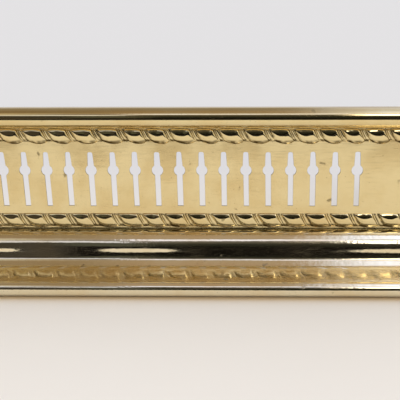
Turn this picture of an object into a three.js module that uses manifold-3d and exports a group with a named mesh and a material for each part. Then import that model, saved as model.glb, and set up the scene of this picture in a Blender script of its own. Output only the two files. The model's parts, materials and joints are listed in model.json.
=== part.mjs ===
// A brass fireplace fender: a low three-sided surround that stands on the hearth in front of a fire.
// Millimetres, +Z up. The front faces -Y, and the two returns run back towards +Y and end at the wall.
// The origin is the middle of the footprint, on the floor.
//
// Every long piece has one cross-section, drawn as (out, up): out is measured outwards from the front
// face of the pierced gallery, and up from the floor. The piece runs along the front or along a return,
// and is mitred at 45 degrees where two runs meet. A place on a run is (along, out, up): along is X on
// the front and Y on a return.

import * as THREE from "three";
import { mergeVertices } from "three/addons/utils/BufferGeometryUtils.js";
import Module from "manifold-3d";

const wasm = await Module();
wasm.setup();

// ---- Driving dimensions -------------------------------------------------------------------------

const WIDTH = 1220; // over the foot beads
const DEPTH = 330; // from the front foot bead to the rear ends
const FIT = 0.3; // gap between pieces that touch
const MITRE = 0.2; // each mitred end stands back by this much
const SHEET = 1; // thickness of the brass sheet
const IRON = 4; // thickness of the iron angle and of the rail core
const FLOOR = 0.3; // the brass stops this far above the floor, and the iron stands on it
const ROUND = 10; // sides of a small round piece

// Base moulding: a level ledge, a shoulder, a steep wall, a hollow that opens out in three arcs, a bead.
const LEDGE_OUT = 3; // where the ledge starts to roll over
const LEDGE_UP = 44.13;
const SHOULDER_R = 14.5;
const WALL = 7.9; // length of the steep wall
const CORNER_R = 7;
const HOLLOW_R = 16.3;
const SWEEP_R = 91;
const BEAD_R = 6.4;
const LEDGE_TURN = 85; // turns are angles of the surface normal above the horizontal, in degrees
const WALL_TURN = 12.3;
const CORNER_TURN = 40;
const HOLLOW_TURN = 72;
const APRON_TURN = 84;
const BEAD_END = -120;
const LIP = 11; // depth of the turned-down lip that meets the gallery sheet
const LIP_RISE = 0.2; // how far the lip stands above the start of the shoulder

// Top rail: a half-round shell with a flat back and an open underside.
const RAIL_R = 8.8;
const RAIL_UP = 142.5; // height of the half-round's centre
const RAIL_BACK = 6.6;
const RAIL_BACK_R = 2;
const RAIL_SKIRT = 6.5; // how far the back wall comes down below the centre
const CORE_DOWN = 6.2; // the iron core reaches this far below and above the rail's centre
const CORE_RISE = 7;

// Gallery: a pierced sheet with two embossed bands.
const GALLERY_FOOT = 31;
const GALLERY_HEAD = RAIL_UP + 5;
const BAND_HALF = 6.6;
const BAND_RISE = 3;
const LOWER_BAND_UP = 52.1;
const UPPER_BAND_UP = 126.8;
const BAND_STEPS = 6;

// Piercings: a narrow slot that passes through a round hole.
const PITCH = 19.05;
const SLOT_FOOT = 65.3;
const SLOT_HEAD = 113.2;
const SLOT_HALF_LOW = 2.3;
const SLOT_HALF_HIGH = 2.7;
const SLOT_HALF_TIP = 2.15;
const SLOT_CORNER = 1.2;
const HOLE_UP = 97.1;
const SLOT_LEAN = 0.026; // every piercing leans to the left by this much for each unit of height
const HOLE_R = 4.8;
const FRONT_SLOTS = 46;
const RETURN_SLOTS = 7;

// Base angle and the plates at the corners.
const ANGLE_OUT = 39.2;
const ANGLE_UP = 43.3;
const CORNER_LEG = 10; // the brass angle behind the gallery's mitre
const PLATE_FROM = 4; // the base corner plate lies from here to there, measured outwards
const PLATE_TO = 32;
const PLATE_LEG = 30; // how far it reaches along each run
const PLATE_THICK = 3;
const END_PLATE = 1.5;
const BRACKET_LEG = 30; // the iron angle behind the rail's mitre
const BRACKET_HALF = 5;
const BRACKET_THICK = 2;

// Stays and fasteners.
const STAY_HALF = 7;
const STAY_THICK = 3;
const STAY_FOOT = 22;
const STAY_HEAD = RAIL_UP + 6;
const CORNER_STAY_X = 505;
const REAR_STAY_IN = 17; // from the rear end to the middle of the rear stay
const BRACKET_SCREW_IN = 20; // from the gallery's corner to the bracket screw
const BASE_SCREW_UP = 38;
const SCREW_R = 2;
const SCREW_HEAD_R = 4;
const SCREW_HEAD = 2.2;
const SCREW_SLOT = 1;
const SCREW_PAST = 1.1; // the base screw's tip stands out past its nut
const NUT_R = 4.2;
const NUT = 2.5;
const WASHER_R = 5.5;
const RIVET_R = 3;
const RIVET_HEAD_R = 5;
const RIVET_HEAD = 2.3;
const RIVET_OUT = 18;
const RIVET_IN = 15; // from the gallery's corner to the rivet, along each run
const PAST = 1; // cutters reach past the faces they cut by this much
const SHORT = 1; // a piece that ends near another one stops short of it by this much
const DOME_STEPS = 3;

function cos(degrees) {
  return Math.cos(THREE.MathUtils.degToRad(degrees));
}

function sin(degrees) {
  return Math.sin(THREE.MathUtils.degToRad(degrees));
}

// Where the gallery's front face lies, and where the runs end.
const BEAD_OUT =
  LEDGE_OUT +
  SHOULDER_R * (cos(WALL_TURN) - cos(LEDGE_TURN)) +
  WALL * sin(WALL_TURN) +
  CORNER_R * (cos(WALL_TURN) - cos(CORNER_TURN)) +
  HOLLOW_R * (cos(CORNER_TURN) - cos(HOLLOW_TURN)) +
  SWEEP_R * (cos(HOLLOW_TURN) - cos(APRON_TURN)) +
  BEAD_R * (1 - cos(APRON_TURN));
const FACE_X = WIDTH / 2 - BEAD_OUT;
const FACE_Y = DEPTH / 2 - BEAD_OUT;
const REAR = DEPTH / 2;
const RUN_END = REAR - END_PLATE - FIT;

// Depths behind the gallery's front face, as negative values of out.
const IRON_FRONT = -SHEET - FIT;
const IRON_REAR = IRON_FRONT - IRON;
const STAY_FRONT = -RAIL_BACK - FIT;
const STAY_REAR = STAY_FRONT - STAY_THICK;

// ---- Materials ----------------------------------------------------------------------------------

const brass = new THREE.MeshStandardMaterial({ color: 0xd9b967, roughness: 0.15, metalness: 1 });
const iron = new THREE.MeshStandardMaterial({ color: 0x2a2725, roughness: 0.7, metalness: 0.7 });
const steel = new THREE.MeshStandardMaterial({ color: 0x8d8a84, roughness: 0.4, metalness: 1 });

// ---- Outlines -----------------------------------------------------------------------------------

const at = (out, up) => new THREE.Vector2(out, up);

/** Points on an arc between two angles in degrees, both ends included. */
function arc(out, up, radius, from, to, steps) {
  return Array.from({ length: steps + 1 }, (_, i) => {
    const turn = from + ((to - from) * i) / steps;
    return at(out + radius * cos(turn), up + radius * sin(turn));
  });
}

/** A closed outline of sheet: the path, then its copy moved to its right, backwards. */
function strip(path, thickness) {
  const last = path.length - 1;
  const rightOf = (from, to) => at(to.y - from.y, from.x - to.x).normalize();
  const copy = path.map((point, i) => {
    const before = rightOf(path[Math.max(i - 1, 0)], path[Math.max(i, 1)]);
    const after = rightOf(path[Math.min(i, last - 1)], path[Math.min(i + 1, last)]);
    const middle = before.clone().add(after).normalize();
    return point.clone().addScaledVector(middle, thickness / middle.dot(before));
  });
  return [...path, ...copy.reverse()];
}

function rectangle(outLow, outHigh, upLow, upHigh) {
  return [at(outLow, upLow), at(outHigh, upLow), at(outHigh, upHigh), at(outLow, upHigh)];
}

/** A point moved by a length in the direction of a turn. */
function moved(point, length, turn) {
  return at(point.x + length * cos(turn), point.y + length * sin(turn));
}

/** The front of the base moulding, from the ledge to the underside of the foot bead. */
function mouldingLine() {
  const line = [at(LEDGE_OUT, LEDGE_UP)];
  const bend = (radius, from, to, steps) => {
    const centre = moved(line.at(-1), -radius, from);
    line.push(...arc(centre.x, centre.y, radius, from, to, steps).slice(1));
  };
  bend(SHOULDER_R, LEDGE_TURN, WALL_TURN, 7);
  line.push(moved(line.at(-1), WALL, WALL_TURN - 90));
  bend(-CORNER_R, WALL_TURN, CORNER_TURN, 2);
  bend(-HOLLOW_R, CORNER_TURN, HOLLOW_TURN, 3);
  bend(-SWEEP_R, HOLLOW_TURN, APRON_TURN, 3);
  bend(BEAD_R, APRON_TURN, BEAD_END, 10);
  return line;
}

function mouldingSection() {
  const lip = [at(FIT, LEDGE_UP + LIP_RISE - LIP), at(FIT, LEDGE_UP + LIP_RISE)];
  return strip([...lip, ...mouldingLine()], SHEET);
}

/** The outer line of the top rail, from its lower lip round the front to the foot of its back wall. */
function railLine() {
  return [
    ...arc(0, RAIL_UP, RAIL_R, -88, 90, 12),
    ...arc(RAIL_BACK_R - RAIL_BACK, RAIL_UP + RAIL_R - RAIL_BACK_R, RAIL_BACK_R, 90, 180, 3),
    at(-RAIL_BACK, RAIL_UP - RAIL_SKIRT),
  ];
}

function railSection() {
  return strip(railLine(), -SHEET);
}

function coreSection() {
  return rectangle(IRON_REAR, IRON_FRONT, RAIL_UP - CORE_DOWN, RAIL_UP + CORE_RISE);
}

/** The gallery sheet from the side: its two bands stand proud in front and are hollow behind. */
function gallerySection() {
  const face = (out, half) => [
    at(out, GALLERY_FOOT),
    ...[LOWER_BAND_UP, UPPER_BAND_UP].flatMap((up) =>
      Array.from({ length: BAND_STEPS + 1 }, (_, i) => {
        const turn = -90 + (180 * i) / BAND_STEPS;
        return at(out + BAND_RISE * cos(turn), up + half * sin(turn));
      }),
    ),
    at(out, GALLERY_HEAD),
  ];
  return [...face(0, BAND_HALF), ...face(-SHEET, BAND_HALF - SHEET).reverse()];
}

function baseAngleSection() {
  return [
    at(IRON_REAR, 0),
    at(ANGLE_OUT, 0),
    at(ANGLE_OUT, IRON),
    at(IRON_FRONT, IRON),
    at(IRON_FRONT, ANGLE_UP),
    at(IRON_REAR, ANGLE_UP),
  ];
}

/** One piercing, drawn as (along, up) about its own middle. */
function slotOutline() {
  const lowMeet = THREE.MathUtils.radToDeg(Math.asin(SLOT_HALF_LOW / HOLE_R));
  const highMeet = THREE.MathUtils.radToDeg(Math.asin(SLOT_HALF_HIGH / HOLE_R));
  const right = [
    at(SLOT_HALF_LOW, SLOT_FOOT),
    ...arc(0, HOLE_UP, HOLE_R, lowMeet - 90, 90 - highMeet, 4),
    at(SLOT_HALF_TIP, SLOT_HEAD - SLOT_CORNER),
    at(SLOT_HALF_TIP - SLOT_CORNER, SLOT_HEAD),
  ];
  const left = right.map((point) => at(-point.x, point.y)).reverse();
  return [...right, ...left].map((point) => at(point.x - SLOT_LEAN * (point.y - HOLE_UP), point.y));
}

/** The rear end of a return, seen along it: moulding, gallery and rail in one outline. */
function endPlateOutline() {
  const lowest = Math.min(...mouldingLine().map((point) => point.y));
  return [
    at(-RAIL_BACK, FLOOR),
    ...mouldingLine()
      .filter((point) => point.y > lowest + FIT / 2)
      .reverse(),
    ...railLine().filter((point) => point.x >= LEDGE_OUT || point.y > RAIL_UP),
  ];
}

// ---- Solids -------------------------------------------------------------------------------------

/** Turns a solid drawn as (out, up, z) onto a run. WAY says which way its z axis points along. */
const TO_RUN = {
  front: new THREE.Matrix4().set(0, 0, -1, 0, -1, 0, 0, -FACE_Y, 0, 1, 0, 0, 0, 0, 0, 1),
  left: new THREE.Matrix4().set(-1, 0, 0, -FACE_X, 0, 0, 1, 0, 0, 1, 0, 0, 0, 0, 0, 1),
  right: new THREE.Matrix4().set(1, 0, 0, FACE_X, 0, 0, -1, 0, 0, 1, 0, 0, 0, 0, 0, 1),
};
const WAY = { front: -1, left: 1, right: -1 };
const SIDES = ["front", "left", "right"];
const HANDS = ["left", "right"];

function extrude(outline, depth) {
  return new THREE.ExtrudeGeometry(new THREE.Shape(outline), { depth, bevelEnabled: false });
}

/** Where a run starts and ends, for a point that lies this far out. */
function span(side, out) {
  if (side === "front") return [-(FACE_X + out - MITRE), FACE_X + out - MITRE];
  return [-(FACE_Y + out - MITRE), RUN_END];
}

/** A piece of one cross-section along a run, mitred at the corners. */
function run(side, section) {
  const geometry = extrude(section, 1);
  const position = geometry.getAttribute("position");
  for (let i = 0; i < position.count; i++) {
    const [start, end] = span(side, position.getX(i));
    const first = WAY[side] > 0 ? start : end;
    const second = WAY[side] > 0 ? end : start;
    position.setZ(i, WAY[side] * (position.getZ(i) < 0.5 ? first : second));
  }
  return geometry.applyMatrix4(TO_RUN[side]);
}

/** A round bar on a run, with its axis along out. */
function roundOnRun({ side, along }, up, radius, outLow, outHigh, sides = ROUND) {
  const geometry = new THREE.CylinderGeometry(radius, radius, outHigh - outLow, sides);
  geometry.rotateZ(Math.PI / 2);
  geometry.translate((outLow + outHigh) / 2, up, WAY[side] * along);
  return geometry.applyMatrix4(TO_RUN[side]);
}

function boxOnRun({ side, along }, width, outLow, outHigh, upLow, upHigh) {
  const geometry = new THREE.BoxGeometry(outHigh - outLow, upHigh - upLow, width);
  geometry.translate((outLow + outHigh) / 2, (upLow + upHigh) / 2, WAY[side] * along);
  return geometry.applyMatrix4(TO_RUN[side]);
}

function upright({ x, y }, radius, upLow, upHigh) {
  const geometry = new THREE.CylinderGeometry(radius, radius, upHigh - upLow, ROUND);
  return geometry.rotateX(Math.PI / 2).translate(x, y, (upLow + upHigh) / 2);
}

/** The same solid on the other side of the fender, with its faces still pointing out. */
function mirrored(geometry) {
  const flipped = geometry.clone();
  const position = flipped.getAttribute("position");
  for (let i = 0; i < position.count; i += 3) {
    const corners = [0, 2, 1].map((k) => new THREE.Vector3().fromBufferAttribute(position, i + k));
    corners.forEach((corner, k) => position.setXYZ(i + k, -corner.x, corner.y, corner.z));
  }
  return flipped;
}

/** An upright L at a front corner. Its outer corner lies `out` outside the gallery's corner. */
function cornerL(hand, out, thickness, leg, upLow, upHigh) {
  const inner = out - thickness;
  const far = out - leg;
  const outline = [
    [out, out],
    [out, far],
    [inner, far],
    [inner, inner],
    [far, inner],
    [far, out],
  ].map(([x, y]) => at(FACE_X + x, -FACE_Y - y));
  const geometry = extrude(outline, upHigh - upLow).translate(0, 0, upLow);
  return hand === "left" ? mirrored(geometry) : geometry;
}

function solid(geometry) {
  const bare = geometry.clone();
  bare.deleteAttribute("normal");
  bare.deleteAttribute("uv");
  const merged = mergeVertices(bare);
  const vertProperties = new Float32Array(merged.getAttribute("position").array);
  const triVerts = new Uint32Array(merged.index.array);
  return new wasm.Manifold(new wasm.Mesh({ numProp: 3, vertProperties, triVerts }));
}

function geometryOf(manifold) {
  const mesh = manifold.getMesh();
  const geometry = new THREE.BufferGeometry();
  geometry.setAttribute("position", new THREE.BufferAttribute(mesh.vertProperties, 3));
  geometry.setIndex(new THREE.BufferAttribute(mesh.triVerts, 1));
  return geometry;
}

function cut(geometry, tools) {
  return geometryOf(tools.reduce((left, tool) => left.subtract(solid(tool)), solid(geometry)));
}

function join(first, second) {
  return geometryOf(solid(first).add(solid(second)));
}

// ---- Places: where the stays, screws and rivets are ---------------------------------------------

const stays = [
  { name: "centre", side: "front", along: 0 },
  { name: "front_left", side: "front", along: -CORNER_STAY_X },
  { name: "front_right", side: "front", along: CORNER_STAY_X },
  { name: "rear_left", side: "left", along: REAR - REAR_STAY_IN },
  { name: "rear_right", side: "right", along: REAR - REAR_STAY_IN },
];

const handWay = { left: -1, right: 1 };

const bracketScrews = HANDS.flatMap((hand) => [
  { name: `${hand}_front`, hand, side: "front", along: handWay[hand] * (FACE_X - BRACKET_SCREW_IN) },
  { name: `${hand}_return`, hand, side: hand, along: BRACKET_SCREW_IN - FACE_Y },
]);

const rivets = HANDS.flatMap((hand) => [
  {
    name: `${hand}_front`,
    hand,
    side: "front",
    x: handWay[hand] * (FACE_X - RIVET_IN),
    y: -FACE_Y - RIVET_OUT,
  },
  {
    name: `${hand}_return`,
    hand,
    side: hand,
    x: handWay[hand] * (FACE_X + RIVET_OUT),
    y: RIVET_IN - FACE_Y,
  },
]);

// ---- The assembly -------------------------------------------------------------------------------

const fender = new THREE.Group();

function place(name, geometry, material) {
  const mesh = new THREE.Mesh(geometry, material);
  mesh.name = name;
  fender.add(mesh);
}

const screwHoles = (fixings, up, outLow, outHigh) =>
  fixings.map((fixing) => roundOnRun(fixing, up, SCREW_R + FIT, outLow, outHigh));

const rivetHoles = (places) =>
  places.map((rivet) => upright(rivet, RIVET_R + FIT, -PAST, IRON + FIT + PLATE_THICK + PAST));

/** The cutters for one run's piercings. */
function piercings(side) {
  const count = side === "front" ? FRONT_SLOTS : RETURN_SLOTS;
  const middle = side === "front" ? 0 : (REAR - FACE_Y) / 2;
  return Array.from({ length: count }, (_, i) => {
    const along = middle + (i - (count - 1) / 2) * PITCH;
    const tool = extrude(slotOutline(), SHEET + 2 * PAST);
    tool.translate(-WAY[side] * along, 0, -SHEET - PAST);
    return tool.rotateY(Math.PI / 2).applyMatrix4(TO_RUN[side]);
  });
}

for (const side of SIDES) {
  const here = (fixing) => fixing.side === side;
  const railScrews = [...stays, ...bracketScrews].filter(here);
  const railHoles = screwHoles(railScrews, RAIL_UP, -RAIL_BACK - PAST, IRON_FRONT + SHEET / 2);
  const baseHoles = screwHoles(stays.filter(here), BASE_SCREW_UP, IRON_REAR - PAST, FIT + SHEET + PAST);
  const floorHoles = rivetHoles(rivets.filter(here));

  place(`top_rail_${side}`, cut(run(side, railSection()), railHoles), brass);
  place(`rail_core_${side}`, cut(run(side, coreSection()), railHoles), iron);
  place(`gallery_${side}`, cut(run(side, gallerySection()), [...piercings(side), ...baseHoles]), brass);
  place(`base_moulding_${side}`, cut(run(side, mouldingSection()), baseHoles), brass);
  place(`base_angle_${side}`, cut(run(side, baseAngleSection()), [...baseHoles, ...floorHoles]), iron);
}

for (const hand of HANDS) {
  const ours = (fixing) => fixing.hand === hand;

  const angleLow = ANGLE_UP + SHORT;
  const angleHigh = RAIL_UP - RAIL_SKIRT - SHORT;
  const angle = cornerL(hand, IRON_FRONT, SHEET, CORNER_LEG, angleLow, angleHigh);
  place(`gallery_corner_${hand}`, angle, brass);

  const bracketLow = RAIL_UP - BRACKET_HALF;
  const bracketHigh = RAIL_UP + BRACKET_HALF;
  const bracket = cornerL(hand, STAY_FRONT, BRACKET_THICK, BRACKET_LEG, bracketLow, bracketHigh);
  const bracketRear = STAY_FRONT - BRACKET_THICK - PAST;
  const holes = screwHoles(bracketScrews.filter(ours), RAIL_UP, bracketRear, STAY_FRONT + FIT);
  place(`rail_corner_bracket_${hand}`, cut(bracket, holes), iron);

  const plateLow = IRON + FIT;
  const plateLeg = PLATE_TO + PLATE_LEG;
  const plateWidth = PLATE_TO - PLATE_FROM;
  const plate = cornerL(hand, PLATE_TO, plateWidth, plateLeg, plateLow, plateLow + PLATE_THICK);
  place(`base_corner_plate_${hand}`, cut(plate, rivetHoles(rivets.filter(ours))), iron);

  const end = extrude(endPlateOutline(), END_PLATE);
  end.translate(0, 0, hand === "left" ? REAR - END_PLATE : -REAR);
  place(`end_plate_${hand}`, end.applyMatrix4(TO_RUN[hand]), brass);
}

/** A round-head screw driven from the hearth side, with a slot across its head. */
function screw(fixing, up, headOut, tipOut) {
  const shank = roundOnRun(fixing, up, SCREW_R, headOut - SCREW_HEAD / 2, tipOut);
  const head = roundOnRun(fixing, up, SCREW_HEAD_R, headOut - SCREW_HEAD, headOut);
  const slotFoot = headOut - SCREW_HEAD / 2;
  const slotTop = headOut - SCREW_HEAD - PAST;
  const reach = SCREW_HEAD_R + PAST;
  const slot = boxOnRun(fixing, SCREW_SLOT, slotTop, slotFoot, up - reach, up + reach);
  return cut(join(shank, head), [slot]);
}

/** A flat ring round the base screw: a washer, or with six sides a nut. */
function ring(fixing, radius, outLow, outHigh, sides) {
  const disc = roundOnRun(fixing, BASE_SCREW_UP, radius, outLow, outHigh, sides);
  return cut(disc, screwHoles([fixing], BASE_SCREW_UP, outLow - PAST, outHigh + PAST));
}

for (const stay of stays) {
  const bar = boxOnRun(stay, 2 * STAY_HALF, STAY_REAR, STAY_FRONT, STAY_FOOT, STAY_HEAD);
  const holes = [RAIL_UP, BASE_SCREW_UP].flatMap((up) =>
    screwHoles([stay], up, STAY_REAR - PAST, STAY_FRONT + PAST),
  );
  place(`stay_${stay.name}`, cut(bar, holes), iron);

  const nutLow = FIT + SHEET + FIT;
  const headOut = STAY_REAR - FIT;
  const washer = ring(stay, WASHER_R, STAY_FRONT + FIT, IRON_REAR - FIT, ROUND);
  place(`packing_washer_${stay.name}`, washer, steel);
  place(`base_nut_${stay.name}`, ring(stay, NUT_R, nutLow, nutLow + NUT, 6), steel);
  place(`rail_screw_${stay.name}`, screw(stay, RAIL_UP, headOut, IRON_FRONT - SHORT), steel);
  const baseTip = nutLow + NUT + SCREW_PAST;
  place(`base_screw_${stay.name}`, screw(stay, BASE_SCREW_UP, headOut, baseTip), steel);
}

for (const fixing of bracketScrews) {
  const headOut = STAY_FRONT - BRACKET_THICK - FIT;
  place(`bracket_screw_${fixing.name}`, screw(fixing, RAIL_UP, headOut, IRON_FRONT - SHORT), steel);
}

for (const rivet of rivets) {
  const seat = IRON + FIT + PLATE_THICK + FIT;
  const shank = upright(rivet, RIVET_R, FLOOR, seat + RIVET_HEAD / 4);
  const dome = arc(0, 0, 1, 0, 90, DOME_STEPS).map(({ x, y }) => at(x * RIVET_HEAD_R, y * RIVET_HEAD));
  const profile = [at(0, 0), ...dome.slice(0, -1), at(0, RIVET_HEAD)];
  const head = new THREE.LatheGeometry(profile, ROUND);
  head.rotateX(Math.PI / 2).translate(rivet.x, rivet.y, seat);
  place(`corner_rivet_${rivet.name}`, join(shank, head), iron);
}

export default fender;
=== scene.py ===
"""A polished brass fireplace fender, built in Blender 4.5 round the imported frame.

The brass is one set of long pieces, each a cross-section that runs along the front or along a return and
is mitred at the corners. A place on a run is (along, out, up): along follows +X on the front and +Y on a
return, out is measured outwards from the front face of the gallery sheet, and up is height.
"""

import json
import math
import random

import bmesh
import bpy
import numpy as np
from mathutils import Matrix, Vector, noise


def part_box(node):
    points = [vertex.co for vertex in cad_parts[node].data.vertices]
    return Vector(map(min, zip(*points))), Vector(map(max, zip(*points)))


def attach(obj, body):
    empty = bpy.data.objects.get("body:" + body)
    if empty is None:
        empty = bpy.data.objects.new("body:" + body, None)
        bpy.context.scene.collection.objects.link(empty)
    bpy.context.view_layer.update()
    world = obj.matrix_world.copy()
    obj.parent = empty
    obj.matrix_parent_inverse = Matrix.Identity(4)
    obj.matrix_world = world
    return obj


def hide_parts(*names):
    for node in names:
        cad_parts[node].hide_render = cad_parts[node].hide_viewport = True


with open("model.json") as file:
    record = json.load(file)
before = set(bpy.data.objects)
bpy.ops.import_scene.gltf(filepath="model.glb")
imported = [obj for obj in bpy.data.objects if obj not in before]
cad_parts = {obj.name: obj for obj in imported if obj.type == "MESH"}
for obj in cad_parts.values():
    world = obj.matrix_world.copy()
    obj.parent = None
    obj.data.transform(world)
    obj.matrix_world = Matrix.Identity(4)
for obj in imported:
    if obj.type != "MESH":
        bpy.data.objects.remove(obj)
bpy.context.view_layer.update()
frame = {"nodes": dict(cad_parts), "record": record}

# ---- Driving dimensions, in metres ----------------------------------------------------------------

MM = 0.001
SHEET = 1.0 * MM
MITRE = 0.2 * MM
FIT = 0.3 * MM
FLOOR_GAP = 0.3 * MM
PLATE_ROUND = 0.25 * MM
SWEEP_STEP = 7 * MM

# Base moulding: a level ledge, a shoulder, a steep wall, a hollow that opens out in three arcs, a bead.
LEDGE_OUT = 3.0 * MM
LEDGE_UP = 44.13 * MM
SHOULDER_R = 14.5 * MM
WALL = 7.9 * MM
CORNER_R = 7.0 * MM
HOLLOW_R = 16.3 * MM
SWEEP_R = 91.0 * MM
BEAD_R = 6.4 * MM
# The turns are the directions that the face looks in, in degrees over level.
LEDGE_TURN = 85
WALL_TURN = 12.3
CORNER_TURN = 40
HOLLOW_TURN = 72
APRON_TURN = 84
BEAD_END = -120
# The lip that hangs down from the back of the ledge, and how much higher the ledge is there.
LIP = 11.0 * MM
LIP_RISE = 0.2 * MM
# The height at which the wall's leans turn about.
STEEPEST_UP = 30 * MM

# Top rail: a half-round shell with a flat back.
RAIL_R = 8.8 * MM
RAIL_UP = 142.5 * MM
RAIL_BACK = 6.6 * MM
RAIL_BACK_R = 2.0 * MM
RAIL_SKIRT = 6.5 * MM
RAIL_STEPS = 44

# Gallery sheet, its two embossed rope bands and its piercings.
GALLERY_FOOT = 31.0 * MM
GALLERY_HEAD = RAIL_UP + 5.0 * MM
BAND_HALF = 6.6 * MM
LOWER_BAND_UP = 52.1 * MM
UPPER_BAND_UP = 126.8 * MM
PITCH = 19.05 * MM
SLOT_FOOT = 65.3 * MM
SLOT_HEAD = 113.2 * MM
SLOT_HALF_LOW = 2.3 * MM
SLOT_HALF_HIGH = 2.7 * MM
SLOT_HALF_TIP = 2.15 * MM
HOLE_UP = 97.1 * MM
HOLE_R = 4.8 * MM
FRONT_SLOTS = 46
RETURN_SLOTS = 7
SLOT_TIP_R = 1.5 * MM
SLOT_LEAN = -0.026
EDGE_ROUND = 0.2 * MM
# The openings in the flat sheet that the bands fill: their share of a band's height, and their end margin.
BAND_WINDOW = 0.58
WINDOW_MARGIN = 4 * MM

# Rope bands: a fat lobe, then two thin strands, over and over. A line over the rope runs from its lower
# edge, t = -1, to its upper edge, t = 1. Across a lobe or strand, v runs from -1 to 1.
LOBE = 16.2 * MM
LOBE_RISE = 2.7 * MM
# Where in t the crest lies, how much higher it lies at a lobe's sides, and how far the lobe falls above it.
LOBE_CREST = 0.08
LOBE_CURL = 0.75
CURL_POWER = 2.5
LOBE_FALL = 0.65
# How square a lobe is before and after its middle, a strand across, and every line at its upper edge.
LOBE_POWERS = (4.0, 9.0)
STRAND_POWER = 2.0
HEAD_POWER = 30
# The widths of the two strands, and how far they stand up over the grooves at the upper edge.
STRANDS = (1.6 * MM, 3.0 * MM)
STRAND_RISE = 1.2 * MM
# How much widths and rises vary from one to the next, as shares of those above.
WIDTHS = (0.9, 1.1)
LOBE_RISES = (0.85, 1.03)
STRAND_RISES = (0.4, 1.03)
# How far back along the run a line leans, between the band's middle and its upper edge.
SLANT = 3.3 * MM
# How high the grooves lie at the upper and the lower edge, as shares of a lobe's rise.
VALLEY_HEAD = 0.10
VALLEY_FOOT = 0.70
# How far lines reach up, how much further down they reach in the middle of a strand, and how many times
# smaller that scallop is at the upper edge.
HEAD_REACH = 0.94
STRAND_SCALLOP = 0.03
HEAD_SCALLOP = 6
# Where in v the painted shade of the creases begins: before and after a lobe's middle, and on a strand.
LOBE_EDGES = (0.76, 0.90)
STRAND_EDGE = 0.45
# Dents in the metal and breaks in the painted shade: how long they are, and how quickly they change in t.
# DENT is how deep the dents are.
DENTS = (4 * MM, 1.7)
SHADE_BREAKS = (3.5 * MM, 2.2)
DENT = 0.07 * MM
# Where in t the painted shade along the foot begins, and over how much of t it comes in.
FOOT_SHADE = 0.42
FOOT_SOFT = 0.2
# How far the rope's edges sink into the sheet, how closely the hollow behind it follows its face, and how
# far past the end of its run it is made before it is cut.
ROPE_SINK = 0.12 * MM
ROPE_HOLLOW = 0.8
ROPE_SPARE = 12 * MM
LOBE_SAMPLES = 20
STRAND_SAMPLES = 6
ROPE_ROWS = 31
# Each band's name and height, how far before the run its twist starts, and how far down its lines reach.
ROPES = (
    ("lower", LOWER_BAND_UP, 20.8 * MM, 0.86),
    ("upper", UPPER_BAND_UP, 6.4 * MM, 0.64),
)

# Fasteners.
SCREW_R = 2.0 * MM
SCREW_TIP_R = 1.2 * MM
SCREW_HEAD_R = 4.0 * MM
SCREW_HEAD = 2.2 * MM
THREAD = 0.22 * MM
THREAD_TURNS = 9
DRIVER_SLOT = 1.0 * MM
DRIVER_DEPTH = 0.55 * SCREW_HEAD
NUT_R = 4.2 * MM
NUT_BORE_R = 2.1 * MM
NUT_ROUND = 0.2 * MM
WASHER_R = 5.5 * MM
WASHER_BORE_R = 2.3 * MM
WASHER_ROUND = 0.15 * MM
RIVET_R = 3.0 * MM
RIVET_EDGE = 0.3 * MM
RIVET_HEAD_R = 5.0 * MM
RIVET_HEAD = 2.3 * MM


def cos(degrees):
    return math.cos(math.radians(degrees))


def sin(degrees):
    return math.sin(math.radians(degrees))


BEAD_OUT = (
    LEDGE_OUT
    + SHOULDER_R * (cos(WALL_TURN) - cos(LEDGE_TURN))
    + WALL * sin(WALL_TURN)
    + CORNER_R * (cos(WALL_TURN) - cos(CORNER_TURN))
    + HOLLOW_R * (cos(CORNER_TURN) - cos(HOLLOW_TURN))
    + SWEEP_R * (cos(HOLLOW_TURN) - cos(APRON_TURN))
    + BEAD_R * (1 - cos(APRON_TURN))
)
# The frame says where the gallery's front face lies and where the returns end.
FACE_X = -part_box("base_moulding_left")[0][0] - BEAD_OUT
FACE_Y = -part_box("base_moulding_front")[0][1] - BEAD_OUT
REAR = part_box("end_plate_left")[1][1]
RUN_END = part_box("base_moulding_left")[1][1]

SIDES = ("front", "left", "right")
TO_WORLD = {
    "front": Matrix(((1, 0, 0, 0), (0, -1, 0, -FACE_Y), (0, 0, 1, 0), (0, 0, 0, 1))),
    "left": Matrix(((0, -1, 0, -FACE_X), (1, 0, 0, 0), (0, 0, 1, 0), (0, 0, 0, 1))),
    "right": Matrix(((0, 1, 0, FACE_X), (1, 0, 0, 0), (0, 0, 1, 0), (0, 0, 0, 1))),
}


def span(side, out):
    """Where a run starts and ends, for a point that lies this far out."""
    if side == "front":
        return -(FACE_X + out - MITRE), FACE_X + out - MITRE
    return -(FACE_Y + out - MITRE), RUN_END


# ---- Node helpers ---------------------------------------------------------------------------------


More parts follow.
